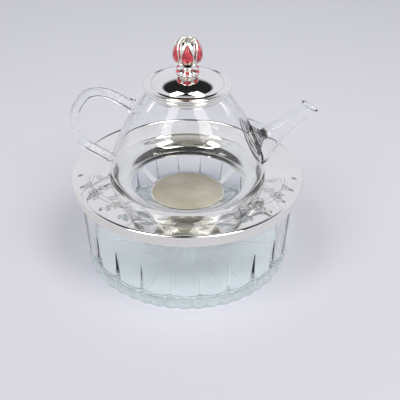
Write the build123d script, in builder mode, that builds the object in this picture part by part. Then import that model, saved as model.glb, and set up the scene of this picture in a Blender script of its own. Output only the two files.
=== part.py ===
from build123d import *
import os
from math import atan2, cos, degrees, radians, sin

os.makedirs("parts", exist_ok=True)

# Glass teapot on its tea-light warmer. A pressed-glass bowl carries a silver-plated plate with a
# dished recess; the blown pot hangs in the recess and its foot stands on a heat plate held by
# three riveted arms. A coiled wire strainer closes the root of the trumpet spout, a silver collar
# is bonded round the neck, and the silver lid carries a jewelled finial.
# Millimetres. +Z is up and z = 0 is the bowl's resting face. The spout points to +X, the handle to
# -X, and the pierced garland lies on the -Y half of the plate.

# ---- glass bowl -------------------------------------------------------------------------------
bowl_height = 96.8
bowl_rim_radius = 111.0
bowl_side_radius = 106.8
bowl_foot_radius = 102.0
bowl_wall = 4.5
bowl_floor = 13.0
floor_corner = 1.0
knob_radius = 108.5
knob_height = 15.0
knob_count = 48
knob_groove_width = 2.2
knob_groove_depth = 2.4
flute_count = 24
flute_tip_height = 57.0
flute_width = 5.0
flute_depth = 1.2
flute_start = 2.0

# ---- warmer plate and its border --------------------------------------------------------------
sheet = 1.2
plate_radius = 116.0
skirt_depth = 11.0
recess_radius = 79.0
recess_depth = 15.5
recess_shelf = 4.0
recess_lip_radius = 58.0
recess_bulge = 3.4
bead_width = 2.0
bead_height = 2.8

# ---- garland pierced through the plate, angles counted from the spout side towards the front ---
garland_radius = 96.0
small_leaf_count = 9
small_leaf_length = 8.4
small_leaf_width = 3.2
small_leaf_first = 12.0
small_leaf_step = 6.6
small_leaf_offset = 6.4
small_leaf_tilt = 38.0
petal_count = 6
petal_length = 4.6
petal_width = 2.3
petal_ring = 4.0
blossom_angles = (28.0, 46.0)
blossom_offset = 3.0
big_leaf_length = 17.0
big_leaf_width = 5.4
big_leaf_inner_angle = 65.0
big_leaf_outer_angle = 70.0
big_leaf_offset = 6.0
big_leaf_tilt = 14.0

# ---- heat plate and its arms ------------------------------------------------------------------
heat_plate_radius = 38.5
heat_plate_drop = 28.0
heat_plate_thickness = 1.0
arm_width = 7.0
arm_thickness = 1.2
arm_bend_radius = 41.0
arm_inner_radius = 30.0
rivet_radius = 1.7
rivet_height = 0.9
rivet_outer_place = 60.2
rivet_inner_place = 33.5

# ---- blown glass pot: radius and height above its foot ------------------------------------------
pot_wall = 2.2
pot_height = 118.5
foot_radius = 37.5
foot_flare = (46.0, 5.8)
lower_curve = (55.0, 12.4)
cheek = (66.0, 17.2)
hip = (73.7, 21.7)
belly = (78.2, 33.0)
above_belly = (76.5, 44.0)
waist = (71.5, 59.0)
shoulder = (63.5, 76.0)
throat = (50.5, 97.0)
neck_root = (44.2, 105.8)
neck_radius = 37.2
neck_start = 113.8

# ---- spout: middle line, radii and slants, with heights above the pot's foot -------------------
spout_wall = 1.7
spout_stations = (
    (62.0, 60.0, 25.5, 24.0),
    (69.5, 62.8, 23.6, 26.0),
    (76.0, 65.6, 18.2, 30.0),
    (82.5, 69.0, 12.8, 36.0),
    (90.0, 75.2, 9.2, 41.0),
    (101.0, 85.5, 8.1, 42.5),
    (122.0, 104.8, 8.6, 42.5),
)
lip_x = 116.7
lip_height = 101.5
lip_slope = 27.0

# ---- handle: radius of the tube and its middle line, heights above the pot's foot --------------
handle_radius = 4.7
handle_wall = 1.6
handle_line = (
    (-46.0, 94.5),
    (-59.1, 101.5),
    (-73.1, 109.6),
    (-84.4, 112.0),
    (-96.1, 109.2),
    (-104.5, 99.7),
    (-109.7, 90.1),
    (-111.0, 80.3),
    (-110.5, 68.2),
    (-104.9, 58.2),
    (-95.3, 51.5),
    (-83.7, 44.2),
    (-72.0, 37.8),
)

# ---- coiled strainer --------------------------------------------------------------------------
wire_radius = 0.45
coil_radius = 24.0
coil_nose_radius = 4.2
coil_depth = 15.0
coil_turns = 10
coil_x = 61.6
coil_height = 63.0
coil_slope = 27.0

# ---- neck collar and lid ----------------------------------------------------------------------
collar_foot_height = 114.4
collar_wall = 1.3
collar_step_height = 117.0
collar_bead_radius = 41.0
collar_top_height = 120.5
lid_radius = 42.4
lid_edge = 2.8
lid_sheet = 1.0
dome_radius = 35.0
dome_rise = 12.0
dome_fullness = 0.74
hollow_depth = 0.9
plug_clearance = 0.8
plug_wall = 1.0
plug_depth = 9.5

# ---- finial -----------------------------------------------------------------------------------
screw_radius = 2.0
screw_clearance = 0.06
screw_reach = 14.0
screw_head_radius = 3.6
screw_head_height = 2.0
washer_radius = 6.5
washer_height = 0.8
calyx_height = 4.9
calyx_foot_radius = 11.0
calyx_belly_radius = 12.2
calyx_neck_radius = 6.5
egg_radius = 14.2
egg_height = 28.6
egg_belly_height = 12.6
egg_brow = (0.8, 0.8)
gem_count = 6
gem_clearance = 0.05
gem_pocket_radius = 10.2
gem_length = 20.0
gem_width = 10.6
gem_belly_height = 12.4
gem_proud = 0.3
bud_length = 4.4
bud_width = 6.0
bud_height = 2.5
bud_pocket_radius = 7.6

# ---- places worked out from the sizes above ----------------------------------------------------
plate_top = bowl_height + sheet
lip_level = plate_top - recess_depth
pot_foot = plate_top - heat_plate_drop
heat_plate_foot = pot_foot - heat_plate_thickness
collar_foot = pot_foot + collar_foot_height
collar_step = pot_foot + collar_step_height
collar_top = pot_foot + collar_top_height
lid_shoulder = collar_top + lid_edge
lid_apex = lid_shoulder + dome_rise
egg_foot = lid_apex + calyx_height
neck_inside = neck_radius - pot_wall
plug_radius = neck_inside - plug_clearance
places_round = ("front", "front_right", "back_right", "back", "back_left", "front_left")
arms_round = {"front": 270.0, "right": 30.0, "left": 150.0}


def save(piece, name):
    """Names a finished piece and writes its STEP file."""
    piece.part.label = name
    export_step(piece.part, f"parts/{name}.step")


def upright(angle):
    """The upright plane through the axis at that azimuth: x runs outwards, y runs up."""
    turn = radians(angle)
    return Plane(origin=(0, 0, 0), x_dir=(cos(turn), sin(turn), 0), z_dir=(sin(turn), -cos(turn), 0))


def facing(angle, out, height):
    """A plane that looks outwards at that azimuth, that far from the axis, with y up."""
    turn = radians(angle)
    middle = (out * cos(turn), out * sin(turn), height)
    return Plane(origin=middle, x_dir=(-sin(turn), cos(turn), 0), z_dir=(cos(turn), sin(turn), 0))


def station(x, height, slope):
    """A plane across the spout's middle line."""
    turn = radians(slope)
    return Plane(origin=(x, 0, pot_foot + height), x_dir=(0, 1, 0), z_dir=(cos(turn), 0, sin(turn)))


def above_foot(spots):
    """The same spots with the height of the pot's foot added."""
    return [(across, pot_foot + height) for across, height in spots]


# ==== glass bowl ===============================================================================
# Thick walls, a flat foot, a ring of pressed knobs, and pointed flutes between plain panels.
inner_side = bowl_side_radius - bowl_wall
knob_groove_floor = knob_radius - knob_groove_depth
flute_floor = bowl_side_radius - flute_depth
with BuildPart() as glass_bowl:
    with BuildSketch(Plane.XZ):
        with BuildLine():
            foot = Line((0, 0), (bowl_foot_radius, 0))
            knob = ThreePointArc(foot @ 1, (knob_radius, knob_height / 2), (bowl_side_radius, knob_height))
            side = Line(knob @ 1, (bowl_rim_radius, bowl_height))
            rim = Line(side @ 1, (bowl_rim_radius - bowl_wall, bowl_height))
            inside = Line(rim @ 1, (inner_side, bowl_floor + floor_corner))
            corner = Line(inside @ 1, (inner_side - floor_corner, bowl_floor))
            floor = Line(corner @ 1, (0, bowl_floor))
            Line(floor @ 1, (0, 0))
        make_face()
    revolve(axis=Axis.Z)
    for count in range(knob_count):
        with BuildSketch(facing((count + 0.5) * 360 / knob_count, knob_groove_floor, 0)):
            with Locations((0, knob_height / 2)):
                Rectangle(knob_groove_width, 2 * knob_height)
    extrude(amount=knob_height, mode=Mode.SUBTRACT)
    for count in range(flute_count):
        with BuildSketch(facing((count + 0.5) * 360 / flute_count, flute_floor, 0)):
            with BuildLine():
                Polyline(
                    (-flute_width / 2, knob_height + flute_start),
                    (flute_width / 2, knob_height + flute_start),
                    (0, flute_tip_height),
                    close=True,
                )
            make_face()
    extrude(amount=knob_height, mode=Mode.SUBTRACT)
save(glass_bowl, "glass_bowl")


# ==== warmer plate =============================================================================
def leaf(length, width):
    """A pointed leaf along x: two equal arcs that meet at both tips."""
    with BuildSketch(mode=Mode.PRIVATE) as outline:
        with BuildLine():
            upper = ThreePointArc((-length / 2, 0), (0, width / 2), (length / 2, 0))
            ThreePointArc(upper @ 1, (0, -width / 2), upper @ 0)
        make_face()
    return outline.sketch


def garland_spot(angle, radius, tilt):
    """Where a leaf lies: that far round from the spout side, turned to follow the stem."""
    turn = radians(-angle)
    return Location((radius * cos(turn), radius * sin(turn), 0), (0, 0, 90 - angle + tilt))


small_leaf = leaf(small_leaf_length, small_leaf_width)
petal = leaf(petal_length, petal_width)
big_leaf = leaf(big_leaf_length, big_leaf_width)
with BuildSketch(Plane.XY.offset(plate_top + sheet)) as garland:
    for count in range(small_leaf_count):
        angle = small_leaf_first + small_leaf_step * count
        side = 1 if count % 2 else -1
        out = garland_radius + side * small_leaf_offset
        with Locations(garland_spot(angle, out, side * small_leaf_tilt)):
            add(small_leaf)
    for count, angle in enumerate(blossom_angles):
        side = -1 if count % 2 else 1
        with Locations(garland_spot(angle, garland_radius + side * blossom_offset, 0)):
            with PolarLocations(petal_ring, petal_count):
                add(petal)
    with Locations(
        garland_spot(big_leaf_inner_angle, garland_radius - big_leaf_offset, big_leaf_tilt),
        garland_spot(big_leaf_outer_angle, garland_radius + big_leaf_offset, -big_leaf_tilt),
    ):
        add(big_leaf)
    mirror(about=Plane.YZ)

under = plate_top - sheet
with BuildPart() as warmer_plate:
    with BuildSketch(Plane.XZ):
        with BuildLine():
            skirt = Line((plate_radius, plate_top - skirt_depth), (plate_radius, plate_top))
            flange = Line(skirt @ 1, (recess_radius, plate_top))
            shelf_edge = recess_lip_radius + recess_shelf
            middle_x = (recess_radius + shelf_edge) / 2
            middle_z = (plate_top + lip_level) / 2
            dish = ThreePointArc(
                flange @ 1, (middle_x + recess_bulge, middle_z - recess_bulge), (shelf_edge, lip_level)
            )
            shelf = Line(dish @ 1, (recess_lip_radius, lip_level))
            lip = Line(shelf @ 1, (recess_lip_radius, lip_level - sheet))
            below_shelf = Line(lip @ 1, (shelf_edge, lip_level - sheet))
            below_dish = ThreePointArc(
                below_shelf @ 1,
                (middle_x + recess_bulge + 0.7 * sheet, middle_z - recess_bulge - 0.7 * sheet),
                (recess_radius + sheet, under),
            )
            below_flange = Line(below_dish @ 1, (plate_radius - sheet, under))
            inside_skirt = Line(below_flange @ 1, (plate_radius - sheet, plate_top - skirt_depth))
            Line(inside_skirt @ 1, skirt @ 0)
        make_face()
    revolve(axis=Axis.Z)
    add(garland.sketch)
    extrude(amount=-3 * sheet, mode=Mode.SUBTRACT)
save(warmer_plate, "warmer_plate")

with BuildPart() as border_bead:
    with BuildSketch(Plane.XZ):
        with BuildLine():
            back = Line((plate_radius, plate_top - bead_height), (plate_radius, plate_top))
            middle = (plate_radius + bead_width, plate_top - bead_height / 2)
            ThreePointArc(back @ 1, middle, back @ 0)
        make_face()
    revolve(axis=Axis.Z)
save(border_bead, "border_bead")

# ==== heat plate and its arms ==================================================================
with BuildPart() as heat_plate:
    with BuildSketch(Plane.XY.offset(heat_plate_foot)):
        Circle(heat_plate_radius)
    extrude(amount=heat_plate_thickness)
save(heat_plate, "heat_plate")

arm_top = lip_level - sheet - arm_thickness / 2
arm_foot = heat_plate_foot - arm_thickness / 2
for side, angle in arms_round.items():
    with BuildPart() as arm:
        with BuildSketch(upright(angle)):
            with BuildLine():
                Polyline(
                    (recess_lip_radius + recess_shelf, arm_top),
                    (recess_lip_radius, arm_top),
                    (arm_bend_radius, arm_foot),
                    (arm_inner_radius, arm_foot),
                )
            trace(line_width=arm_thickness)
        extrude(amount=arm_width / 2, both=True)
    save(arm, f"arm_{side}")
    for place, out, level in (
        ("outer", rivet_outer_place, arm_top - arm_thickness / 2),
        ("inner", rivet_inner_place, arm_foot - arm_thickness / 2),
    ):
        turn = radians(angle)
        with BuildPart() as rivet:
            with Locations((out * cos(turn), out * sin(turn), level - rivet_height / 2)):
                Cone(0.6 * rivet_radius, rivet_radius, rivet_height)
        save(rivet, f"rivet_{place}_{side}")

# ==== blown glass pot ==========================================================================
pot_top = pot_foot + pot_height
pot_lower = ((foot_radius, 0), foot_flare, lower_curve, cheek, hip, belly)
pot_upper = (above_belly, waist, shoulder, throat, neck_root)
pot_spots = above_foot((*pot_lower, *pot_upper))
pot_ends = ((1, 0.15), (-0.5, 1))
with BuildPart() as pot_full:
    with BuildSketch(Plane.XZ):
        with BuildLine():
            side = Spline(*pot_spots, (neck_radius, pot_foot + neck_start), tangents=pot_ends)
            neck = Line(side @ 1, (neck_radius, pot_top))
            top = Line(neck @ 1, (0, pot_top))
            middle = Line(top @ 1, (0, pot_foot))
            Line(middle @ 1, side @ 0)
        make_face()
    revolve(axis=Axis.Z)

wall_spots = []
for step in range(1, 15):
    at = side @ (step / 14)
    along = side % (step / 14)
    wall_spots.append((at.X - pot_wall * along.Y, at.Y + pot_wall * along.X))
foot_inside = pot_foot + pot_wall
with BuildPart() as pot_space:
    with BuildSketch(Plane.XZ):
        with BuildLine():
            curve = Spline((foot_radius - pot_wall / 2, foot_inside), *wall_spots, tangents=pot_ends)
            above = Line(curve @ 1, (neck_inside, pot_top + pot_wall))
            across = Line(above @ 1, (0, pot_top + pot_wall))
            down = Line(across @ 1, (0, foot_inside))
            Line(down @ 1, curve @ 0)
        make_face()
    revolve(axis=Axis.Z)

with BuildPart() as spout_full:
    for x, height, radius, slope in spout_stations:
        with BuildSketch(station(x, height, slope)):
            Circle(radius)
    loft()
    lip_turn = radians(lip_slope)
    lip_plane = Plane(
        origin=(lip_x, 0, pot_foot + lip_height), x_dir=(0, 1, 0), z_dir=(sin(lip_turn), 0, cos(lip_turn))
    )
    split(bisect_by=lip_plane, keep=Keep.BOTTOM)

with BuildPart() as spout_space:
    for x, height, radius, slope in spout_stations:
        with BuildSketch(station(x, height, slope)):
            Circle(radius - spout_wall)
    loft()

with BuildPart() as pot_body:
    add(pot_full.part)
    add(pot_space.part, mode=Mode.SUBTRACT)
    add(spout_space.part, mode=Mode.SUBTRACT)
save(pot_body, "pot_body")

with BuildPart() as pot_spout:
    add(spout_full.part)
    add(pot_full.part, mode=Mode.SUBTRACT)
    add(spout_space.part, mode=Mode.SUBTRACT)
save(pot_spout, "pot_spout")

with BuildPart() as pot_handle:
    with BuildLine(Plane.XZ) as handle_path:
        Spline(*above_foot(handle_line))
    with BuildSketch(Plane(origin=handle_path.line @ 0, z_dir=handle_path.line % 0)):
        Circle(handle_radius)
        Circle(handle_radius - handle_wall, mode=Mode.SUBTRACT)
    sweep(path=handle_path.line)
    add(pot_full.part, mode=Mode.SUBTRACT)
save(pot_handle, "pot_handle")

# ==== coiled strainer ==========================================================================
# One wire wound into a flat cone that covers the spout's root and points up the spout.
coil_turn = radians(coil_slope)
coil_lean = (cos(coil_turn), 0, sin(coil_turn))
coil_middle = (coil_x, 0, pot_foot + coil_height)
coil_slant = degrees(atan2(coil_radius - coil_nose_radius, coil_depth))
with BuildPart() as spout_strainer:
    with BuildLine() as coil_path:
        Helix(coil_depth / coil_turns, coil_depth, coil_radius, coil_middle, coil_lean, -coil_slant)
    with BuildSketch(Plane(origin=coil_path.line @ 0, z_dir=coil_path.line % 0)):
        Circle(wire_radius)
    sweep(path=coil_path.line, is_frenet=True)
save(spout_strainer, "spout_strainer")

# ==== neck collar and lid ======================================================================
with BuildPart() as neck_collar:
    with BuildSketch(Plane.XZ):
        with BuildLine():
            Polyline(
                (neck_radius, collar_foot),
                (neck_radius + collar_wall, collar_foot),
                (neck_radius + collar_wall, collar_step),
                (collar_bead_radius, collar_step + 0.6),
                (collar_bead_radius, collar_top),
                (neck_inside, collar_top),
                (neck_inside, pot_top),
                (neck_radius, pot_top),
                close=True,
            )
        make_face()
    revolve(axis=Axis.Z)
save(neck_collar, "neck_collar")

with BuildPart() as lid_dome:
    with BuildSketch(Plane.XZ):
        with BuildLine():
            seat = Line((plug_radius, collar_top), (lid_radius - lid_edge / 2, collar_top))
            nose = ThreePointArc(
                seat @ 1, (lid_radius, collar_top + lid_edge / 2), (lid_radius - lid_edge / 2, lid_shoulder)
            )
            hollow = ThreePointArc(
                nose @ 1,
                ((lid_radius - lid_edge / 2 + dome_radius) / 2, lid_shoulder - hollow_depth),
                (dome_radius, lid_shoulder),
            )
            over = ThreePointArc(
                hollow @ 1, (0.62 * dome_radius, lid_shoulder + dome_fullness * dome_rise), (0, lid_apex)
            )
            drop = Line(over @ 1, (0, lid_apex - lid_sheet))
            below = ThreePointArc(
                drop @ 1,
                (0.61 * dome_radius, lid_shoulder + dome_fullness * dome_rise - lid_sheet),
                (plug_radius, lid_shoulder - lid_sheet),
            )
            Line(below @ 1, seat @ 0)
        make_face()
    revolve(axis=Axis.Z)
    with Locations((0, 0, lid_apex)):
        Cylinder(screw_radius + screw_clearance, 4 * lid_sheet, mode=Mode.SUBTRACT)
save(lid_dome, "lid_dome")

with BuildPart() as lid_plug:
    with BuildSketch(Plane.XY.offset(collar_top - plug_depth)):
        Circle(plug_radius)
        Circle(plug_radius - plug_wall, mode=Mode.SUBTRACT)
    extrude(amount=plug_depth + lid_edge - lid_sheet)
save(lid_plug, "lid_plug")

# ==== finial ===================================================================================
with BuildPart() as lid_filled:
    with BuildSketch(Plane.XZ):
        with BuildLine():
            over = ThreePointArc(
                (dome_radius, lid_shoulder),
                (0.62 * dome_radius, lid_shoulder + dome_fullness * dome_rise),
                (0, lid_apex),
            )
            Polyline(over @ 1, (0, lid_shoulder), over @ 0)
        make_face()
    revolve(axis=Axis.Z)


def drop_shape(length, width, belly_height, shrink):
    """A drop with its point up, its middle on the origin, that much smaller all round."""
    half = width / 2 - shrink
    foot = -length / 2 + shrink
    waist = belly_height - length / 2 - gem_width / 2
    with BuildSketch(mode=Mode.PRIVATE) as outline:
        with BuildLine():
            left = ThreePointArc((-half, waist), (0, foot), (half, waist))
            right = ThreePointArc(left @ 1, (0.72 * half, waist + 0.42 * length), (0, length / 2 - shrink))
            ThreePointArc(right @ 1, (-0.72 * half, waist + 0.42 * length), left @ 0)
        make_face()
    return outline.sketch


def bud_shape(shrink):
    """A low arch with a flat foot, that much smaller all round."""
    half = bud_width / 2 - shrink
    with BuildSketch(mode=Mode.PRIVATE) as outline:
        with BuildLine():
            foot = Line((-half, -bud_length / 2 + shrink), (half, -bud_length / 2 + shrink))
            ThreePointArc(foot @ 1, (0, bud_length / 2 - shrink), foot @ 0)
        make_face()
    return outline.sketch


def egg_face(grow):
    """Half of the egg's outline beside the axis, that much larger all round."""
    with BuildSketch(Plane.XZ, mode=Mode.PRIVATE) as outline:
        with BuildLine():
            side = Spline(
                (calyx_neck_radius + grow, egg_foot),
                (egg_radius + grow, egg_foot + egg_belly_height),
                (egg_brow[0] * (egg_radius + grow), egg_foot + egg_brow[1] * egg_height),
                (0, egg_foot + egg_height + grow),
                tangents=((1, 0.5), (-1, 0)),
            )
            Polyline(side @ 1, (0, egg_foot), side @ 0)
        make_face()
    return outline.sketch


def calyx_face(grow):
    """Half of the calyx's outline beside the axis, that much larger all round."""
    with BuildSketch(Plane.XZ, mode=Mode.PRIVATE) as outline:
        with BuildLine():
            side = ThreePointArc(
                (calyx_foot_radius + grow, lid_shoulder + 0.8 * dome_rise),
                (calyx_belly_radius + grow, lid_apex + 0.2 * calyx_height),
                (calyx_neck_radius + grow, egg_foot),
            )
            Polyline(side @ 1, (0, egg_foot), (0, lid_shoulder + 0.8 * dome_rise), side @ 0)
        make_face()
    return outline.sketch


gem_middle = egg_foot + egg_belly_height - 0.5
bud_middle = lid_apex + bud_height
with BuildPart() as finial_egg:
    add(egg_face(0))
    revolve(axis=Axis.Z)
    for count in range(gem_count):
        with BuildSketch(facing(270 + 60 * count, gem_pocket_radius, gem_middle)):
            add(drop_shape(gem_length, gem_width, gem_belly_height, 0))
        extrude(amount=egg_radius, mode=Mode.SUBTRACT)
    with Locations((0, 0, egg_foot)):
        Cylinder(screw_radius + screw_clearance, screw_reach, mode=Mode.SUBTRACT)
save(finial_egg, "finial_egg")

with BuildPart() as finial_calyx:
    add(calyx_face(0))
    revolve(axis=Axis.Z)
    add(lid_filled.part, mode=Mode.SUBTRACT)
    for count in range(gem_count):
        with BuildSketch(facing(270 + 60 * count, bud_pocket_radius, bud_middle)):
            add(bud_shape(0))
        extrude(amount=calyx_belly_radius, mode=Mode.SUBTRACT)
    with Locations((0, 0, egg_foot)):
        Cylinder(screw_radius + screw_clearance, 4 * calyx_height, mode=Mode.SUBTRACT)
save(finial_calyx, "finial_calyx")

for count, place in enumerate(places_round):
    with BuildPart() as gem:
        add(egg_face(gem_proud))
        revolve(axis=Axis.Z)
        with BuildSketch(facing(270 + 60 * count, gem_pocket_radius, gem_middle)):
            add(drop_shape(gem_length, gem_width, gem_belly_height, gem_clearance))
        extrude(amount=egg_radius, mode=Mode.INTERSECT)
    save(gem, f"gem_{place}")
    with BuildPart() as bud:
        add(calyx_face(gem_proud))
        revolve(axis=Axis.Z)
        with BuildSketch(facing(270 + 60 * count, bud_pocket_radius, bud_middle)):
            add(bud_shape(gem_clearance))
        extrude(amount=calyx_belly_radius, mode=Mode.INTERSECT)
        add(lid_filled.part, mode=Mode.SUBTRACT)
    save(bud, f"bud_gem_{place}")

with BuildPart() as washer:
    with BuildSketch(Plane.XY.offset(lid_apex - lid_sheet - washer_height)):
        Circle(washer_radius)
        Circle(screw_radius + screw_clearance, mode=Mode.SUBTRACT)
    extrude(amount=washer_height)
    add(lid_filled.part.moved(Location((0, 0, -lid_sheet))), mode=Mode.INTERSECT)
save(washer, "finial_washer")

screw_seat = lid_apex - lid_sheet - washer_height
with BuildPart() as screw:
    with BuildSketch(Plane.XY.offset(screw_seat - screw_head_height)):
        Circle(screw_head_radius)
    extrude(amount=screw_head_height)
    with BuildSketch(Plane.XY.offset(screw_seat)):
        Circle(screw_radius)
    extrude(amount=egg_foot + screw_reach / 2 - screw_seat)
save(screw, "finial_screw")
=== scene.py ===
from math import cos, pi, radians, sin

import bmesh
import bpy
import numpy as np
from mathutils import Matrix, Vector


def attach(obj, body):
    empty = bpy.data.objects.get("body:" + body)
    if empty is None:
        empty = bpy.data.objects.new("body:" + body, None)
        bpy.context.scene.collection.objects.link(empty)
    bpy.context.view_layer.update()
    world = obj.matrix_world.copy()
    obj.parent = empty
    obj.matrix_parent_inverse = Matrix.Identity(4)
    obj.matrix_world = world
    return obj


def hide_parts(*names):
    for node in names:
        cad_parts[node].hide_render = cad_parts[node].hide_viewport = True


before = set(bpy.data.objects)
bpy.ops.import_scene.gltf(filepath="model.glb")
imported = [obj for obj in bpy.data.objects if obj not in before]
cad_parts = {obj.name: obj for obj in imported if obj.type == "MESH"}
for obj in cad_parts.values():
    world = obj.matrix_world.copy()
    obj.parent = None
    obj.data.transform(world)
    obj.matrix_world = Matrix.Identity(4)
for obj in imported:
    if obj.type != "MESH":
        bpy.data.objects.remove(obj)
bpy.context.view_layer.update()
print("teapot: frame loaded")

mm = 0.001


# lines and surfaces

def curveThrough(spots, perSpan=12):
    # Catmull-Rom: each span blends four neighbouring spots with cubic weights of t
    p = np.asarray(spots, float)
    p = np.vstack([2 * p[0] - p[1], p, 2 * p[-1] - p[-2]])
    t = np.linspace(0, 1, perSpan, endpoint=False)[None, :, None]
    a, b, c, d = (p[i:len(p) - 3 + i, None, :] for i in range(4))
    squared, cubed = 2 * a - 5 * b + 4 * c - d, 3 * b - a - 3 * c + d
    line = 0.5 * (2 * b + (c - a) * t + squared * t ** 2 + cubed * t ** 3)
    return np.vstack([line.reshape(-1, p.shape[1]), p[-2]])


def evenly(line, count):
    # the same line with its points spaced evenly along its length
    steps = np.r_[0, np.cumsum(np.linalg.norm(np.diff(line, axis=0), axis=1))]
    at = np.linspace(0, steps[-1], count)
    return np.stack([np.interp(at, steps, line[:, k]) for k in range(line.shape[1])], 1)


def rounded(corners, radius, steps=5):
    # a closed outline whose corners are quadratic curves that start one radius before each corner
    p = np.asarray(corners, float)
    before, after = np.roll(p, 1, 0) - p, np.roll(p, -1, 0) - p
    longB, longA = np.linalg.norm(before, axis=1)[:, None], np.linalg.norm(after, axis=1)[:, None]
    r = np.minimum(np.minimum(longA, longB) * 0.45, radius)
    start, end = p + before / longB * r, p + after / longA * r
    t = np.linspace(0, 1, steps)[None, :, None]
    bends = start[:, None] * (1 - t) ** 2 + 2 * p[:, None] * t * (1 - t) + end[:, None] * t ** 2
    return bends.reshape(-1, p.shape[1])


def gridFaces(rows, cols, wrapRows, wrapCols):
    # quads between neighbouring rows and columns, joined round where a direction wraps
    i = np.arange(rows if wrapRows else rows - 1)[:, None]
    j = np.arange(cols if wrapCols else cols - 1)[None, :]
    i2, j2 = (i + 1) % rows, (j + 1) % cols
    return np.stack([i * cols + j, i * cols + j2, i2 * cols + j2, i2 * cols + j], -1).reshape(-1, 4)


def meshOf(name, points, faces, sharp=40):
    # points in millimetres become a mesh in metres, with doubles merged and faces turned outwards
    mesh = bpy.data.meshes.new(name)
    mesh.from_pydata((points * mm).tolist(), [], faces.tolist())
    bm = bmesh.new()
    bm.from_mesh(mesh)
    bmesh.ops.remove_doubles(bm, verts=bm.verts, dist=2e-7)
    bmesh.ops.dissolve_degenerate(bm, edges=bm.edges, dist=1e-8)
    bmesh.ops.recalc_face_normals(bm, faces=bm.faces)
    bm.to_mesh(mesh)
    bm.free()
    mesh.shade_smooth()
    mesh.set_sharp_from_angle(angle=radians(sharp))
    return mesh


def place(name, mesh, material, body, nodes=()):
    # each piece rides on a body, and stands in for the plain nodes that it is named with
    piece = bpy.data.objects.new(name, mesh)
    bpy.context.scene.collection.objects.link(piece)
    mesh.materials.clear()
    mesh.materials.append(material)
    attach(piece, body)
    if nodes:
        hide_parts(*nodes)
    return piece


def turned(line, around, closed=True):
    # x = r cos a, y = r sin a, z = z: each point of the outline goes once round the axis
    a = np.linspace(0, 2 * pi, around, endpoint=False)[None, :]
    r, z = line[:, 0:1], line[:, 1:2]
    points = np.stack([r * np.cos(a), r * np.sin(a), z + 0 * a], -1).reshape(-1, 3)
    return points, gridFaces(len(line), around, closed, True)


def tubeAlong(path, radii, sides=12):
    # point = path + r (cos a across + sin a up), with the frame carried along without twist
    path = np.asarray(path, float)
    ahead = np.gradient(path, axis=0)
    ahead /= np.linalg.norm(ahead, axis=1)[:, None]
    up = np.zeros_like(path)
    first = np.array([0.0, 1.0, 0.0]) if abs(ahead[0][1]) < 0.9 else np.array([0.0, 0.0, 1.0])
    for k in range(len(path)):
        first = first - ahead[k] * (first @ ahead[k])
        first = first / np.linalg.norm(first)
        up[k] = first
    across = np.cross(ahead, up)
    a = np.linspace(0, 2 * pi, sides, endpoint=False)[None, :, None]
    r = np.broadcast_to(np.asarray(radii, float), (len(path),))[:, None, None]
    return path[:, None] + r * (np.cos(a) * across[:, None] + np.sin(a) * up[:, None])


def solidTube(path, radii, sides=12):
    # the tube's rings, closed at both ends by a ring of no size
    ring = tubeAlong(path, radii, sides)
    ring = np.concatenate([np.repeat(ring[:1].mean(1, keepdims=True), sides, 1), ring,
                           np.repeat(ring[-1:].mean(1, keepdims=True), sides, 1)])
    return ring.reshape(-1, 3), gridFaces(len(ring), sides, False, True)


def joined(parts):
    # several grids in one mesh: faces are shifted by the points before them
    points, faces, before = [], [], 0
    for p, f in parts:
        points.append(p)
        faces.append(f + before)
        before += len(p)
    return np.vstack(points), np.vstack(faces)


def cutWith(mesh, tools, kinds, crossing=False):
    # exact booleans, one after another; crossing is for a tool whose own parts overlap
    base = bpy.data.objects.new("cutting", mesh)
    bpy.context.scene.collection.objects.link(base)
    made = []
    for tool, kind in zip(tools, kinds):
        other = bpy.data.objects.new("tool", tool)
        bpy.context.scene.collection.objects.link(other)
        made.append(other)
        step = base.modifiers.new("cut", "BOOLEAN")
        step.operation, step.object, step.solver = kind, other, "EXACT"
        step.use_self = crossing
    graph = bpy.context.evaluated_depsgraph_get()
    result = bpy.data.meshes.new_from_object(base.evaluated_get(graph), depsgraph=graph)
    for thing in [base] + made:
        bpy.data.objects.remove(thing)
    return result


# finishes

def newMaterial(name):
    material = bpy.data.materials.new(name)
    material.use_nodes = True
    nodes, links = material.node_tree.nodes, material.node_tree.links
    nodes.clear()
    out = nodes.new("ShaderNodeOutputMaterial")
    shader = nodes.new("ShaderNodeBsdfPrincipled")
    links.new(shader.outputs["BSDF"], out.inputs["Surface"])
    where = nodes.new("ShaderNodeTexCoord")
    return material, nodes, links, shader, where, out


def noiseOn(nodes, links, where, scale, detail=3.0):
    noise = nodes.new("ShaderNodeTexNoise")
    noise.inputs["Scale"].default_value = scale
    noise.inputs["Detail"].default_value = detail
    links.new(where.outputs["Object"], noise.inputs["Vector"])
    return noise.outputs["Fac"]


def rampFrom(nodes, links, factor, stops):
    ramp = nodes.new("ShaderNodeValToRGB")
    while len(ramp.color_ramp.elements) < len(stops):
        ramp.color_ramp.elements.new(0.5)
    for element, (at, colour) in zip(ramp.color_ramp.elements, stops):
        element.position = at
        element.color = (*colour, 1)
    links.new(factor, ramp.inputs["Fac"])
    return ramp.outputs["Color"]


def rangeFrom(nodes, links, factor, low, high, fromLow=0.0, fromHigh=1.0):
    spread = nodes.new("ShaderNodeMapRange")
    spread.inputs["From Min"].default_value = fromLow
    spread.inputs["From Max"].default_value = fromHigh
    spread.inputs["To Min"].default_value = low
    spread.inputs["To Max"].default_value = high
    links.new(factor, spread.inputs["Value"])
    return spread.outputs["Result"]


def bumpFrom(nodes, links, shader, factor, strength, distance):
    bump = nodes.new("ShaderNodeBump")
    bump.inputs["Strength"].default_value = strength
    bump.inputs["Distance"].default_value = distance
    links.new(factor, bump.inputs["Height"])
    links.new(bump.outputs["Normal"], shader.inputs["Normal"])


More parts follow.
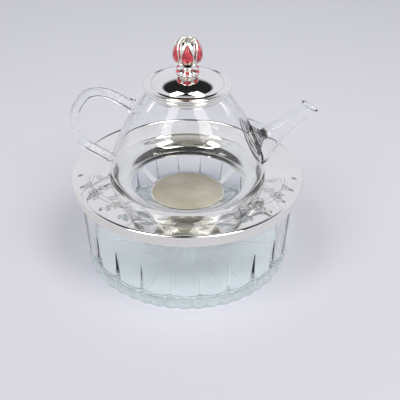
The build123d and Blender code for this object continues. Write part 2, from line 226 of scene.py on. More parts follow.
def metalFinish(name, pale, worn, smooth, rough, waviness, grain=900):
    # polished plate: faint cloudy tarnish, a roughness that drifts, and a very slight ripple
    material, nodes, links, shader, where, out = newMaterial(name)
    shader.inputs["Metallic"].default_value = 1
    cloud = noiseOn(nodes, links, where, 28, 4)
    links.new(rampFrom(nodes, links, cloud, [(0.3, worn), (0.7, pale)]), shader.inputs["Base Color"])
    fine = noiseOn(nodes, links, where, grain, 2)
    links.new(rangeFrom(nodes, links, fine, smooth, rough, 0.3, 0.7), shader.inputs["Roughness"])
    bumpFrom(nodes, links, shader, noiseOn(nodes, links, where, 60, 1), waviness, 0.0004)
    return material


def glassFinish(name, low, high, lowAt, highAt, ior, ripple, rippleScale, clearness=1.0):
    # clear glass whose tint deepens towards its foot, and which can turn milky there; shadow rays pass
    material, nodes, links, shader, where, out = newMaterial(name)
    shader.inputs["IOR"].default_value = ior
    split = nodes.new("ShaderNodeSeparateXYZ")
    links.new(where.outputs["Object"], split.inputs["Vector"])
    height = rangeFrom(nodes, links, split.outputs["Z"], 0, 1, lowAt, highAt)
    links.new(rampFrom(nodes, links, height, [(0.0, low), (1.0, high)]), shader.inputs["Base Color"])
    links.new(rangeFrom(nodes, links, height, clearness, 1, 0.25, 0.6), shader.inputs["Transmission Weight"])
    smear = noiseOn(nodes, links, where, 40, 2)
    links.new(rangeFrom(nodes, links, smear, 0.0, 0.02, 0.35, 0.75), shader.inputs["Roughness"])
    if ripple:
        bumpFrom(nodes, links, shader, noiseOn(nodes, links, where, rippleScale, 1), ripple, 0.0008)
    passing = nodes.new("ShaderNodeBsdfTransparent")
    passing.inputs["Color"].default_value = (*[0.55 + 0.45 * v for v in high], 1)
    path = nodes.new("ShaderNodeLightPath")
    mix = nodes.new("ShaderNodeMixShader")
    links.new(path.outputs["Is Shadow Ray"], mix.inputs["Fac"])
    links.new(shader.outputs["BSDF"], mix.inputs[1])
    links.new(passing.outputs["BSDF"], mix.inputs[2])
    links.new(mix.outputs["Shader"], out.inputs["Surface"])
    return material


def stoneFinish():
    # red cabochon: dark veins in a clear red, under a polished coat
    material, nodes, links, shader, where, out = newMaterial("redStone")
    vein = noiseOn(nodes, links, where, 260, 5)
    stops = [(0.32, (0.16, 0.0, 0.008)), (0.5, (0.5, 0.008, 0.02)), (0.68, (0.8, 0.05, 0.06))]
    links.new(rampFrom(nodes, links, vein, stops), shader.inputs["Base Color"])
    links.new(rangeFrom(nodes, links, vein, 0.04, 0.16), shader.inputs["Roughness"])
    shader.inputs["Coat Weight"].default_value = 1
    shader.inputs["IOR"].default_value = 1.6
    bumpFrom(nodes, links, shader, vein, 0.25, 0.0004)
    return material


def heatPlateFinish():
    # spun metal: fine circles round the axis, from the sine of the radius
    material, nodes, links, shader, where, out = newMaterial("paleGold")
    shader.inputs["Metallic"].default_value = 0.55
    rings = nodes.new("ShaderNodeTexWave")
    rings.wave_type, rings.rings_direction = "RINGS", "Z"
    rings.inputs["Scale"].default_value = 700
    rings.inputs["Distortion"].default_value = 0.6
    links.new(where.outputs["Object"], rings.inputs["Vector"])
    cloud = noiseOn(nodes, links, where, 35, 4)
    stops = [(0.3, (0.74, 0.69, 0.58)), (0.7, (0.9, 0.87, 0.8))]
    links.new(rampFrom(nodes, links, cloud, stops), shader.inputs["Base Color"])
    links.new(rangeFrom(nodes, links, rings.outputs["Fac"], 0.22, 0.3), shader.inputs["Roughness"])
    return material


silver = metalFinish("silverPlate", (0.88, 0.865, 0.82), (0.82, 0.8, 0.74), 0.04, 0.09, 0.05)
steel = metalFinish("springWire", (0.14, 0.135, 0.13), (0.09, 0.085, 0.08), 0.3, 0.4, 0.02)
pressedGlass = glassFinish("pressedGlass", (0.78, 0.86, 0.865), (0.985, 0.993, 0.996), 0.004, 0.03, 1.45,
                           0.05, 45, 0.6)
blownGlass = glassFinish("blownGlass", (0.985, 0.993, 0.993), (0.99, 0.995, 0.995), 0.07, 0.12, 1.3, 0, 30)
# painted shade: a darker copy of the silver plate, so that the garland's thin raised edges show as the dark shaded
# edges of the pierced sheet
shadedReliefSilver = metalFinish("shadedReliefSilver", (0.62, 0.61, 0.58), (0.42, 0.41, 0.39), 0.15, 0.25, 0.02)
stone = stoneFinish()
paleGold = heatPlateFinish()
print("teapot: finishes ready")


# glass bowl

bowl = {
    "around": 960, "rimRadius": 111.0, "sideRadius": 106.8, "top": 96.8, "wall": 4.5, "floor": 13.0,
    "flutes": 24, "fluteTip": 58.0, "fluteWidth": 3.6, "fluteDepth": 2.3, "panelRise": 0.5,
    "knobs": 48, "knobHeight": 15.0, "knobRadius": 108.4, "footRadius": 101.5, "ribDepth": 0.7,
    "ribWidth": 0.9, "corner": 7, "scallop": 0.9, "rimEdges": (0.6, 3.9), "base": 0.6,
    "floorRings": (88, 76, 62, 48, 34, 20, 9, 0.0),
}


def bowlSurface(b):
    # outside: r = side + panel bulge - flute cut; foot: knobs swell as |cos(24 a)|
    # inside: a plain wall, a scalloped corner and a floor with ribs that run to the middle
    a = np.linspace(0, 2 * pi, b["around"], endpoint=False)[None, :]
    step = 2 * pi / b["flutes"]
    fromEdge = np.abs((a / step) % 1 - 0.5) * step  # angle to the nearest flute
    knob = np.abs(np.cos(a * b["knobs"] / 2)) ** 0.55
    foot = np.linspace(0, 1, 14)[:, None]
    footZ = b["knobHeight"] * foot
    swell = np.sin(pi * np.clip(foot, 0, 1) ** 0.8) ** 0.8
    footR = b["footRadius"] + (b["sideRadius"] - b["footRadius"] - 1.0) * foot ** 0.6
    footR = footR + (b["knobRadius"] - b["footRadius"] - 3.2) * swell * knob
    sideZ = np.linspace(b["knobHeight"] + 0.8, b["top"] - 0.6, 30)[:, None]
    share = (sideZ - b["knobHeight"]) / (b["top"] - b["knobHeight"])
    sideR = b["sideRadius"] + (b["rimRadius"] - b["sideRadius"]) * share
    reach = np.clip((b["fluteTip"] - sideZ) / (b["fluteTip"] - b["knobHeight"]), 0, 1)
    half = b["fluteWidth"] * reach ** 0.9 + 1e-6
    across = fromEdge * sideR
    cut = np.clip(1 - across / half, 0, 1) * b["fluteDepth"] * reach ** 0.6
    panel = b["panelRise"] * np.cos(fromEdge / step * 2 * pi) * -0.5 * np.clip(1 - share, 0, 1)
    sideR = sideR - cut + panel
    rimR = b["rimRadius"] - np.array(b["rimEdges"])[:, None] + 0 * a
    rimZ = np.array([b["top"], b["top"]])[:, None]
    innerZ = np.linspace(b["top"] - 0.6, b["floor"] + b["corner"], 14)[:, None]
    innerR = b["sideRadius"] - b["wall"] + (b["rimRadius"] - b["sideRadius"]) * (innerZ - 15) / 82 + 0 * a
    turnIn = np.linspace(0.15, 1, 6)[:, None] * pi / 2
    scallop = b["scallop"] * np.cos(a * b["flutes"])
    cornerR = b["sideRadius"] - b["wall"] - b["corner"] * (1 - np.cos(turnIn)) + scallop * np.sin(turnIn)
    cornerZ = b["floor"] + b["corner"] * (1 - np.sin(turnIn)) + 0 * a
    floorR = np.array(b["floorRings"])[:, None] + 0 * a
    rib = np.exp(-((fromEdge * np.maximum(floorR, 6)) / b["ribWidth"]) ** 2)
    floorZ = b["floor"] - b["ribDepth"] * rib * np.clip(floorR / 20, 0, 1)
    baseR = np.array([0.0, 30, 60, 90])[:, None] + 0 * a
    baseZ = b["base"] - np.array([0, 0, 0, 0.1])[:, None] + 0 * a
    rows = [(footR, footZ + 0 * a), (sideR, sideZ + 0 * a), (rimR, rimZ + 0 * a), (innerR, innerZ + 0 * a),
            (cornerR, cornerZ), (floorR, floorZ), (baseR, baseZ)]
    r = np.vstack([one for one, _ in rows])
    z = np.vstack([two for _, two in rows])
    points = np.stack([r * np.cos(a), r * np.sin(a), z], -1).reshape(-1, 3)
    return points, gridFaces(len(r), b["around"], True, True)


place("glassBowl", meshOf("glassBowl", *bowlSurface(bowl), sharp=50), pressedGlass, "glass_bowl",
      ["glass_bowl"])
print("teapot: bowl made")


# warmer plate, bead and heat plate

plate = {
    "top": 98.0, "sheet": 1.2, "radius": 116.0, "skirt": 11.0, "recess": 79.0, "lip": 58.0, "shelf": 62.0,
    "lipZ": 82.5, "around": 320, "garland": 96.0, "leafGrowth": (1.18, 1.25), "stem": 0.26, "leafEdge": 0.22,
}


def plateOutline(p):
    # flat flange, a hollow that drops as a quarter wave, a small shelf, and the same line one sheet lower
    s = np.linspace(0, 1, 26)[:, None]
    r = p["recess"] + (p["shelf"] - p["recess"]) * s
    z = p["lipZ"] + (p["top"] - p["lipZ"]) * (1 - np.sin(s * pi / 2) ** 0.92)
    dish = np.hstack([r + 3.2 * np.sin(pi * s) * 0.35, z])
    edge = np.array([[p["radius"], p["top"] - p["skirt"]], [p["radius"], p["top"] - 1.0],
                     [p["radius"] - 0.3, p["top"] - 0.3], [p["radius"] - 1.0, p["top"]]])
    flange = np.stack([np.linspace(p["radius"] - 2, p["recess"] + 1.5, 9), np.full(9, p["top"])], 1)
    roll = np.array([[p["recess"] + 0.6, p["top"] - 0.08]])
    lip = np.array([[p["lip"] + 0.3, p["lipZ"]], [p["lip"], p["lipZ"] - 0.3]])
    upper = np.vstack([edge, flange, roll, dish[1:], lip])
    lower = dish[::-1] + [0.75, -0.95]
    inside, below = p["radius"] - p["sheet"], p["top"] - p["sheet"]
    under = [[p["recess"] + 2.4, below], [inside, below], [inside, p["top"] - p["skirt"]]]
    return np.vstack([upper, [[p["lip"], p["lipZ"] - 1.0]], lower[:-2], under])


def leafCutter(x, y, turn, length, width, height):
    # a leaf's edge is y = +-w/2 sin(pi s): a prism of it, from under the flange to above it
    s = np.linspace(0, 1, 9)
    side = width / 2 * np.sin(pi * s)
    there, back = np.stack([length * (s - 0.5), side], 1), np.stack([length * (0.5 - s), -side[::-1]], 1)
    edge = np.vstack([there, back[1:-1]])
    c, d = np.cos(turn), np.sin(turn)
    flat = np.stack([x + edge[:, 0] * c - edge[:, 1] * d, y + edge[:, 0] * d + edge[:, 1] * c], 1)
    middle = np.repeat(flat.mean(0)[None], len(flat), 0)
    rows = [np.hstack([flat if k in (1, 2) else middle, np.full((len(flat), 1), z)])
            for k, z in enumerate((height[0], height[0], height[1], height[1]))]
    return np.vstack(rows), gridFaces(4, len(flat), False, True)


def spray(middle):
    # leaves along a swaying stem: (angle from the spout's side, radius, tilt, length, width)
    leaves = []
    for k in range(9):
        side = 1 if k % 2 else -1
        leaves.append((12 + 6.6 * k, middle + side * 6.4, side * 38, 8.4, 3.2))
    for k in range(10):
        side = -1 if k % 2 else 1
        leaves.append((8 + 5.9 * k, middle + side * 12.5 - 3 * (k > 7), side * 62, 4.6, 2.0))
    for angle, out in ((28, 99), (46, 93)):  # two six-petalled flowers
        for petal in range(6):
            turn = petal * 60
            along, aside = 4.0 * cos(radians(turn)), 4.0 * sin(radians(turn))
            leaves.append((angle + np.degrees(along / out), out + aside, turn, 4.6, 2.3))
    leaves += [(65, 90, 14, 17, 5.4), (70, 102, -14, 17, 5.4), (58, 104, 30, 9, 3), (77, 91, -24, 8, 2.6),
               (81, 104.5, 22, 7, 2.4), (84, 97, -40, 5, 2)]
    return leaves


def leafSpots(p, mirrored):
    # one spray on each side of the front: the left one mirrors x
    spots = []
    for angle, out, tilt, length, width in spray(p["garland"]):
        a = radians(-angle)
        x, y, turn = out * cos(a), out * sin(a), a + pi / 2 + radians(tilt)
        size = (length * p["leafGrowth"][0], width * p["leafGrowth"][1])
        spots.append((-x, y, pi - turn, *size) if mirrored else (x, y, turn, *size))
    return spots


def garlandRelief(p):
    # stems are r = 96 + 4 sin(6 a), and each pierced leaf has a thin raised edge
    lines = []
    t = np.linspace(8, 92, 90)
    for way in (1, -1):
        for shift, sway in ((0, 4.0), (1.9, -5.0)):
            r = p["garland"] + sway * np.sin(np.radians(t * 6) + shift)
            lines.append((np.stack([way * r * np.cos(np.radians(-t)), r * np.sin(np.radians(-t)),
                                    np.full_like(t, p["top"])], 1), p["stem"]))
    s = np.linspace(0, 1, 12)
    for mirrored in (False, True):
        for x, y, turn, length, width in leafSpots(p, mirrored):
            grown, side = length * 1.14, (width * 0.62 + 0.35) * np.sin(pi * s)
            there, back = np.stack([grown * (s - 0.5), side], 1), np.stack([grown * (0.5 - s), -side], 1)
            edge = np.vstack([there, back[1:]])
            c, d = cos(turn), sin(turn)
            lines.append((np.stack([x + edge[:, 0] * c - edge[:, 1] * d, y + edge[:, 0] * d + edge[:, 1] * c,
                                    np.full(len(edge), p["top"])], 1), p["leafEdge"]))
    return joined([solidTube(line, thick, 6) for line, thick in lines])


cutters = joined([leafCutter(*spot, (plate["top"] - 4, plate["top"] + 2))
                  for mirrored in (False, True) for spot in leafSpots(plate, mirrored)])
plateMesh = cutWith(meshOf("plateBlank", *turned(plateOutline(plate), plate["around"])),
                    [meshOf("leafCutters", *cutters)], ["DIFFERENCE"], crossing=True)
print("teapot: plate faces", len(plateMesh.polygons))
plateMesh.shade_smooth()
plateMesh.set_sharp_from_angle(angle=radians(35))
place("warmerPlate", plateMesh, silver, "warmer_top", ["warmer_plate"])
place("garlandRelief", meshOf("garlandRelief", *garlandRelief(plate)), shadedReliefSilver, "warmer_top")

bead = {"middle": 115.5, "height": 96.5, "radius": 2.4, "around": 320}

t = np.linspace(0, 2 * pi, 28, endpoint=False)  # the bead's section is a circle
beadLine = np.stack([bead["middle"] + bead["radius"] * np.cos(t), bead["height"] + bead["radius"] * np.sin(t)], 1)
place("borderBead", meshOf("borderBead", *turned(beadLine, bead["around"])), silver, "warmer_top",
      ["border_bead"])

heat = {"radius": 38.4, "top": 70.0, "foot": 69.0, "edge": 0.4, "around": 160}

heatLine = rounded([[0, heat["top"]], [heat["radius"], heat["top"]], [heat["radius"], heat["foot"]],
                    [0, heat["foot"]]], heat["edge"])
heatLine[:, 0] = np.maximum(heatLine[:, 0], 0)
place("heatPlate", meshOf("heatPlate", *turned(heatLine, heat["around"])), paleGold, "warmer_top",
      ["heat_plate"])
print("teapot: warmer plate made")


# blown pot and spout

pot = {
    "foot": 70.0, "wall": 2.2, "top": 188.5, "neck": 37.2, "around": 256,
    "line": [(37.5, 70.0), (46.0, 75.8), (55.0, 82.4), (66.0, 87.2), (73.7, 91.7), (78.2, 103.0), (76.5, 114.0),
             (71.5, 129.0), (63.5, 146.0), (56.6, 158.3), (50.5, 167.0), (44.2, 175.8), (37.6, 183.4)],
    "spout": [(62.0, 130.0, 25.5, 24.0), (69.5, 132.8, 23.6, 26.0), (76.0, 135.6, 18.2, 30.0),
              (82.5, 139.0, 12.8, 36.0), (90.0, 145.2, 9.2, 41.0), (101.0, 155.5, 8.1, 42.5),
              (112.0, 165.6, 8.2, 42.5), (122.0, 174.8, 8.6, 42.5)],
    "spoutWall": 1.7, "lip": (116.7, 171.5), "lipSlope": 27.0, "spoutSlope": 42.5, "spoutSides": 72,
    "footFlat": 36.6, "neckFoot": 185.5, "ripple": 0.08,
}


def potOuter(p):
    # the outline from the axis along the foot, up the side and over a plug that the inside cuts open
    side = curveThrough(p["line"], 9)
    foot = np.stack([np.linspace(0, p["footFlat"], 10), np.full(10, p["foot"])], 1)
    top = np.array([[p["neck"], p["neckFoot"]], [p["neck"], p["top"] - 0.8], [p["neck"] - 0.6, p["top"]],
                    [0, p["top"]]])
    return np.vstack([foot, side, top])


def potInner(p):
    # the outline moved one wall inwards along its normal, with rings rippling the floor as sin(r)
    side = curveThrough(p["line"], 9)
    along = np.gradient(side, axis=0)
    along /= np.linalg.norm(along, axis=1)[:, None]
    inside = side + p["wall"] * np.stack([-along[:, 1], along[:, 0]], 1)
    inside = inside[inside[:, 1] > p["foot"] + p["wall"] + 0.4]
    r = np.linspace(0, inside[0, 0] - 2.0, 40)
    wave = p["ripple"] * np.sin(r / 34 * 2 * pi * 3.5) * np.clip(r / 8, 0, 1)
    floor = np.stack([r, p["foot"] + p["wall"] + wave], 1)
    bore = p["neck"] - p["wall"]
    top = np.array([[bore, p["neckFoot"]], [bore, p["top"] + 4], [0, p["top"] + 4]])
    return np.vstack([floor, inside, top])


def spoutSolid(p, inwards, beyond):
    # circles across a bent line: centre + r (cos a across + sin a up), with up tilted by the line's slope
    stations = curveThrough(p["spout"], 10)
    x, z, r, slope = (stations[:, k][:, None] for k in range(4))
    r = r - inwards
    lean = np.radians(slope)
    sides = p["spoutSides"]
    a = np.linspace(0, 2 * pi, sides, endpoint=False)[None, :]
    up = r * np.sin(a)
    points = np.stack([x - np.sin(lean) * up, r * np.cos(a) + 0 * x, z + np.cos(lean) * up], -1)
    if not beyond:
        # the lip's slanting plane: rings past it slide back along the spout until they lie on it
        normal = np.array([sin(radians(p["lipSlope"])), 0, cos(radians(p["lipSlope"]))])
        over = np.maximum((points - np.array([p["lip"][0], 0, p["lip"][1]])) @ normal, 0)
        ahead = np.array([cos(radians(p["spoutSlope"])), 0, sin(radians(p["spoutSlope"]))])
        points = points - (over / (ahead @ normal))[..., None] * ahead
    caps = [np.repeat(points[k].mean(0)[None, None], sides, 1) for k in (0, -1)]
    rows = np.concatenate([caps[0], points, caps[1]])
    return rows.reshape(-1, 3), gridFaces(len(rows), sides, False, True)


potMesh = cutWith(
    meshOf("potOuter", *turned(potOuter(pot), pot["around"], closed=False)),
    [meshOf("spoutOuter", *spoutSolid(pot, 0, False)),
     meshOf("potInner", *turned(potInner(pot), pot["around"], closed=False)),
     meshOf("spoutInner", *spoutSolid(pot, pot["spoutWall"], True))],
    ["UNION", "DIFFERENCE", "DIFFERENCE"])
potMesh.shade_smooth()
potMesh.set_sharp_from_angle(angle=radians(38))
place("potBody", potMesh, blownGlass, "teapot", ["pot_body", "pot_spout"])
print("teapot: pot made", len(potMesh.polygons))


# handle

handle = {
    "line": [(-53.0, 168.2), (-59.1, 171.5), (-73.1, 179.6), (-84.4, 182.0), (-96.1, 179.2), (-104.5, 169.7),
             (-109.7, 160.1), (-111.0, 150.3), (-110.2, 138.6), (-104.9, 128.2), (-95.3, 121.5), (-83.7, 114.2),
             (-77.2, 110.2)],
    "radius": 4.7, "wall": 1.6, "rootSwell": 2.4, "lowSwell": 1.2, "steps": 150, "sides": 28,
}


def handleShell(h):
    # an outer and an inner tube joined by a ring at each end; bell curves swell both roots
    line = evenly(curveThrough(h["line"], 16), h["steps"])
    path = np.stack([line[:, 0], np.zeros(h["steps"]), line[:, 1]], 1)
    along = np.linspace(0, 1, h["steps"])
    swell = h["rootSwell"] * np.exp(-(along / 0.022) ** 2)
    swell = swell + h["lowSwell"] * np.exp(-((along - 0.035) / 0.012) ** 2)
    swell = swell + h["lowSwell"] * np.exp(-((1 - along) / 0.02) ** 2)
    outer = tubeAlong(path, h["radius"] + swell, h["sides"])
    inner = tubeAlong(path, h["radius"] - h["wall"] + 0.3 * swell, h["sides"])
    rows = np.concatenate([outer, inner[::-1]])
    return rows.reshape(-1, 3), gridFaces(len(rows), h["sides"], True, True)


place("potHandle", meshOf("potHandle", *handleShell(handle), sharp=60), blownGlass, "teapot",
      ["pot_handle"])


# coiled strainer

coil = {"centre": (61.6, 133.0), "slope": 27.0, "radius": 24.0, "nose": 5.2, "depth": 13.0, "turns": 8,
        "noseTurns": 5, "nosePitch": 1.1, "wire": 0.36}


def coilWire(c):
    # radius falls evenly from rim to nose while depth grows with the power 1.25, then the nose runs straight
    turns = np.linspace(0, 1 + c["turns"] + c["noseTurns"], 46 * 15)
    cone = np.clip((turns - 1) / c["turns"], 0, 1)
    r = c["radius"] + (c["nose"] - c["radius"]) * cone
    depth = c["depth"] * cone ** 1.25 + c["nosePitch"] * np.maximum(turns - 1 - c["turns"], 0)
    a = 2 * pi * turns
    lean = radians(c["slope"])
    x = c["centre"][0] + depth * cos(lean) - r * np.sin(a) * sin(lean)
    z = c["centre"][1] + depth * sin(lean) + r * np.sin(a) * cos(lean)
    return solidTube(np.stack([x, r * np.cos(a), z], 1), c["wire"], 8)


place("strainerCoil", meshOf("strainerCoil", *coilWire(coil), sharp=80), steel, "strainer",
      ["spout_strainer"])
print("teapot: handle and strainer made")


# collar and lid

collar = {
    "line": [[37.25, 184.4], [38.5, 184.4], [38.6, 186.8], [41.0, 187.4], [41.0, 188.6], [40.2, 189.2],
             [40.2, 190.45], [35.1, 190.45], [35.1, 188.55], [37.25, 188.55]],
    "edge": 0.5, "around": 200,
}

collarLine = rounded(collar["line"], collar["edge"])
place("neckCollar", meshOf("neckCollar", *turned(collarLine, collar["around"])), silver, "teapot",
      ["neck_collar"])

lid = {
    "seat": 190.5, "radius": 42.3, "edge": 2.8, "dome": 35.2, "rise": 12.0, "hollow": 0.9, "sheet": 1.0,
    "hole": 2.2, "nose": 1.4, "fullness": 0.62, "around": 240,
}


def lidOutline(l):
    # dome: z = shoulder + rise (1 - (r / dome)^2)^0.62; then a hollow ring, a rolled edge and the underside
    shoulder = l["seat"] + l["edge"]
    r = l["hole"] + (l["dome"] - l["hole"]) * np.sin(np.linspace(0, pi / 2, 48))
    dome = np.stack([r, shoulder + l["rise"] * np.maximum(1 - (r / l["dome"]) ** 2, 0) ** l["fullness"]], 1)
    s = np.linspace(0, 1, 12)[1:]
    ring = np.stack([l["dome"] + (l["radius"] - 1.5 - l["dome"]) * s, shoulder - l["hollow"] * np.sin(pi * s)], 1)
    t = np.linspace(0.5, -0.5, 12)[1:] * pi
    half = l["edge"] / 2
    nose = np.stack([l["radius"] - l["nose"] + l["nose"] * np.cos(t), l["seat"] + half + half * np.sin(t)], 1)
    back = np.array([[34.2, l["seat"]], [33.4, shoulder - 1.0]])
    u = np.linspace(32.5, l["hole"], 20)
    under = np.stack([u, shoulder - l["sheet"] + l["rise"] * (1 - (u / l["dome"]) ** 2) ** l["fullness"]], 1)
    return np.vstack([dome, ring, nose, back, under])


place("lidDome", meshOf("lidDome", *turned(lidOutline(lid), lid["around"]), sharp=50), silver, "lid",
      ["lid_dome"])

plug = {"inner": 33.2, "outer": 34.2, "foot": 181.0, "top": 191.6, "edge": 0.3, "around": 160}

plugLine = rounded([[plug["inner"], plug["foot"]], [plug["outer"], plug["foot"]], [plug["outer"], plug["top"]],
                    [plug["inner"], plug["top"]]], plug["edge"])
place("lidPlug", meshOf("lidPlug", *turned(plugLine, plug["around"])), silver, "lid",
      ["lid_plug"])


# finial

finial = {
    "foot": 209.8, "height": 28.3, "radius": 14.1, "stones": 6, "rib": 0.6, "stoneRise": 2.2, "stoneWidth": 6.3,
    "ribAside": 26.5, "bow": 0.7,
}


def eggRadius(f, share):
    # an egg: radius = sqrt(1 - (2 share^0.86 - 1)^2)^0.92, so that the belly sits a little low
    bent = np.clip(share, 0, 1) ** 0.86
    return f["radius"] * np.sqrt(np.clip(1 - (2 * bent - 1) ** 2, 0, 1)) ** 0.92


def eggCore(f):
    # the same egg, two millimetres smaller, that closes the cage from inside
    share = np.linspace(0.0, 1, 40)
    r = np.maximum(eggRadius(f, share) - 2.0, 0)
    r[0], r[-1] = 0, 0
    return turned(np.stack([r, f["foot"] + 1.0 + (f["height"] - 2.6) * share], 1), 72, closed=False)


def onEgg(f, share, angle, proud=0.0):
    # a spot on the egg from its share of the height and its angle, a little proud of the surface
    r = eggRadius(f, share) + proud
    return np.stack([r * np.cos(angle), r * np.sin(angle), f["foot"] + f["height"] * share], -1)


def cageRibs(f):
    # two ribs frame each stone: angle = 26.5 (1 - ((share - 0.2) / 0.68)^2.4) to each side, closing over its tip
    ribs = []
    share = np.linspace(0.03, 0.975, 48)
    for k in range(f["stones"]):
        for way in (-1, 1):
            aside = np.radians(f["ribAside"] * (1 - (np.maximum(share - 0.2, 0) / 0.68) ** 2.4))
            line = onEgg(f, share, radians(270 + 60 * k) + way * aside, -0.35)
            ribs.append(solidTube(line, f["rib"], 8))
    for k in range(3):
        turn = radians(60 * k)
        s = np.linspace(-1, 1, 24)
        bow = np.stack([7.0 * s * cos(turn), 7.0 * s * sin(turn), f["foot"] + f["height"] - 0.6 - 2.6 * s ** 2], 1)
        ribs.append(solidTube(bow, f["bow"], 8))
    return joined(ribs)


def stoneFace(f, turn):
    # a drop: half width sin(v) (0.92 - 0.42 cos(v)), height cos(v), domed outwards by sqrt(1 - u^2)
    u = np.linspace(0, 1, 9)[:, None]
    v = np.linspace(0, 2 * pi, 36, endpoint=False)[None, :]
    tall = np.cos(v)
    wide = np.sin(v) * (0.92 - 0.42 * tall)
    share = 0.46 + u * tall * np.where(tall > 0, 0.35, 0.27)
    angle = turn + u * wide * f["stoneWidth"] / (f["radius"] * 0.98)
    dome = onEgg(f, share, angle, -1.3 + f["stoneRise"] * np.sqrt(np.clip(1 - u ** 2, 0, 1)))
    back = onEgg(f, share, angle, -2.2)
    rows = np.concatenate([dome, back[::-1]])
    return rows.reshape(-1, 3), gridFaces(len(rows), 36, False, True)


calyx = {
    "heights": [203.0, 203.8, 205.0, 206.3, 207.9, 209.0, 210.0, 210.8], "around": 144,
    "radii": [9.8, 11.0, 11.5, 10.8, 8.8, 7.4, 6.7, 7.0], "petals": [0.4, 0.8, 0.9, 0.7, 0.4, 0.15, 0.0, 0.0],
}


def calyxBody(c):
    # six petals: r grows by |cos(3 a)|, flared low down and drawn in to the neck under the egg
    a = np.linspace(0, 2 * pi, c["around"], endpoint=False)[None, :]
    z, r, petal = (np.array(c[key])[:, None] for key in ("heights", "radii", "petals"))
    r = r + petal * (np.abs(np.cos(3 * (a - radians(270)))) - 0.3)
    r, z = np.vstack([0 * a, r, 0 * a]), np.vstack([z[:1], z, z[-1:]]) + 0 * a
    points = np.stack([r * np.cos(a), r * np.sin(a), z], -1).reshape(-1, 3)
    return points, gridFaces(len(r), c["around"], False, True)


bud = {"out": 10.2, "rise": 1.7, "side": 2.5, "tall": 2.0, "height": 206.2}


def budStone(b, turn):
    # a low ellipsoid that looks outwards: out = rise cos(u), side and height = sin(u) round v
    u = np.linspace(0, pi, 12)[:, None]
    v = np.linspace(0, 2 * pi, 20, endpoint=False)[None, :]
    out = b["out"] + b["rise"] * np.cos(u) + 0 * v
    side = b["side"] * np.sin(u) * np.cos(v)
    up = b["height"] + b["tall"] * np.sin(u) * np.sin(v)
    x = out * cos(turn) - side * sin(turn)
    y = out * sin(turn) + side * cos(turn)
    return np.stack([x, y, up], -1).reshape(-1, 3), gridFaces(12, 20, False, True)


placesRound = ("front", "front_right", "back_right", "back", "back_left", "front_left")
place("finialEgg", meshOf("finialEgg", *joined([eggCore(finial), cageRibs(finial)]), sharp=60), silver, "lid",
      ["finial_egg"])
place("finialCalyx", meshOf("finialCalyx", *calyxBody(calyx), sharp=60), silver, "lid",
      ["finial_calyx"])
for count, spot in enumerate(placesRound):
    turn = radians(270 + 60 * count)
    place(f"stone_{spot}", meshOf("stone", *stoneFace(finial, turn)), stone, "lid", [f"gem_{spot}"])
    place(f"budStone_{spot}", meshOf("budStone", *budStone(bud, turn)), stone, "lid",
          [f"bud_gem_{spot}"])
print("teapot: lid and finial made")


# plain nodes that stay as they are, with a finish

kept = {"arm_": silver, "rivet_": silver, "finial_screw": steel, "finial_washer": steel}
for name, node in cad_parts.items():
    for start, material in kept.items():
        if name.startswith(start):
            node.data.materials.clear()
            node.data.materials.append(material)


# floor, lights and camera

# the floor's near colour is painted shade at the front of the paper and its floor colour is painted light at the
# back
studio = {
    "floor": (0.95, 0.95, 1.0), "nearPaintedShade": (0.61, 0.61, 0.67), "pale": (0.8, 0.81, 0.9), "dark": (0.02, 0.02, 0.022),
    "room": (0.4, 0.38, 0.35), "lamp": (1.0, 0.985, 0.96), "level": -0.0005,
}

floorMesh = bpy.data.meshes.new("floor")
corners = ((-4, -3), (4, -3), (4, 5), (-4, 5))
floorMesh.from_pydata([(x, y, studio["level"]) for x, y in corners], [], [(0, 1, 2, 3)])
floor = bpy.data.objects.new("floor", floorMesh)
bpy.context.scene.collection.objects.link(floor)
material, nodes, links, shader, where, out = newMaterial("paperSweep")
# painted light and shade on the paper: its colour rises from a darker front to a paler back, standing in for how
# the paper is lit
split = nodes.new("ShaderNodeSeparateXYZ")
links.new(where.outputs["Object"], split.inputs["Vector"])
depth = rangeFrom(nodes, links, split.outputs["Y"], 0, 1, -0.4, 0.9)
stops = [(0.0, studio["nearPaintedShade"]), (1.0, studio["floor"])]
links.new(rampFrom(nodes, links, depth, stops), shader.inputs["Base Color"])
shader.inputs["Roughness"].default_value = 0.6
shader.inputs["Specular IOR Level"].default_value = 0.2
floorMesh.materials.append(material)

world = bpy.data.worlds.new("studio")
bpy.context.scene.world = world
world.use_nodes = True
nodes, links = world.node_tree.nodes, world.node_tree.links
nodes.clear()
out = nodes.new("ShaderNodeOutputWorld")
sky = nodes.new("ShaderNodeBackground")
where = nodes.new("ShaderNodeTexCoord")
split = nodes.new("ShaderNodeSeparateXYZ")
links.new(where.outputs["Generated"], split.inputs["Vector"])


def between(value, low, high):
    return rangeFrom(nodes, links, value, 0, 1, low, high)


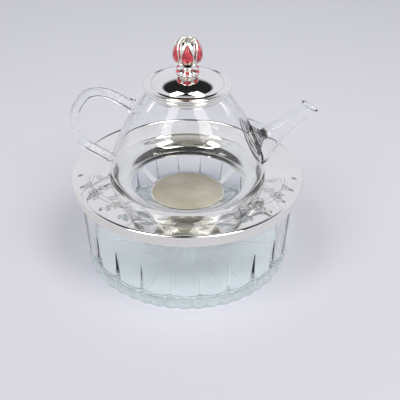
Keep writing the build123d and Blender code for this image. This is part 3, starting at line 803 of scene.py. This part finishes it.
def times(one, two):
    product = nodes.new("ShaderNodeMath")
    product.operation = "MULTIPLY"
    links.new(one, product.inputs[0])
    links.new(two, product.inputs[1])
    return product.outputs[0]


def blended(factor, one, two):
    mix = nodes.new("ShaderNodeMix")
    mix.data_type = "RGBA"
    links.new(factor, mix.inputs["Factor"])
    for socket, value in ((mix.inputs[6], one), (mix.inputs[7], two)):
        if isinstance(value, tuple):
            socket.default_value = (*value, 1)
        else:
            links.new(value, socket)
    return mix.outputs[2]


# pale paper all round, a warm grey room high in front, and a dark ceiling between the softboxes
front = times(between(split.outputs["Y"], -0.45, -0.6), between(split.outputs["Z"], 0.35, 0.6))
ceiling = times(between(split.outputs["Z"], 0.66, 0.74), between(split.outputs["Y"], -0.68, -0.6))
room = blended(ceiling, blended(front, studio["pale"], studio["room"]), studio["dark"])
links.new(room, sky.inputs["Color"])
links.new(sky.outputs["Background"], out.inputs["Surface"])


def softbox(name, at, size, power, aim=(0, 0, 0.08)):
    lamp = bpy.data.lights.new(name, "AREA")
    lamp.shape, lamp.size, lamp.size_y, lamp.energy = "RECTANGLE", size[0], size[1], power
    lamp.color = studio["lamp"]
    thing = bpy.data.objects.new(name, lamp)
    thing.location = at
    thing.rotation_euler = (Vector(aim) - Vector(at)).to_track_quat("-Z", "Y").to_euler()
    bpy.context.scene.collection.objects.link(thing)


softbox("softboxLeft", (-0.58, -0.52, 1.2), (0.42, 1.0), 7.0)
softbox("softboxRight", (0.5, -0.52, 1.2), (0.5, 1.0), 9.5)

view = {"at": (0.0132, -0.565, 0.435), "down": 33.55, "roll": 0.8, "lens": 57.6}
lens = bpy.data.cameras.new("camera")
lens.lens, lens.sensor_width, lens.clip_start = view["lens"], 36, 0.01
camera = bpy.data.objects.new("camera", lens)
camera.matrix_world = (Matrix.Translation(view["at"]) @ Matrix.Rotation(radians(90 - view["down"]), 4, "X")
                       @ Matrix.Rotation(radians(view["roll"]), 4, "Z"))
bpy.context.scene.collection.objects.link(camera)
bpy.context.scene.camera = camera
bpy.context.scene.view_settings.view_transform = "Standard"
print("teapot: stage set")
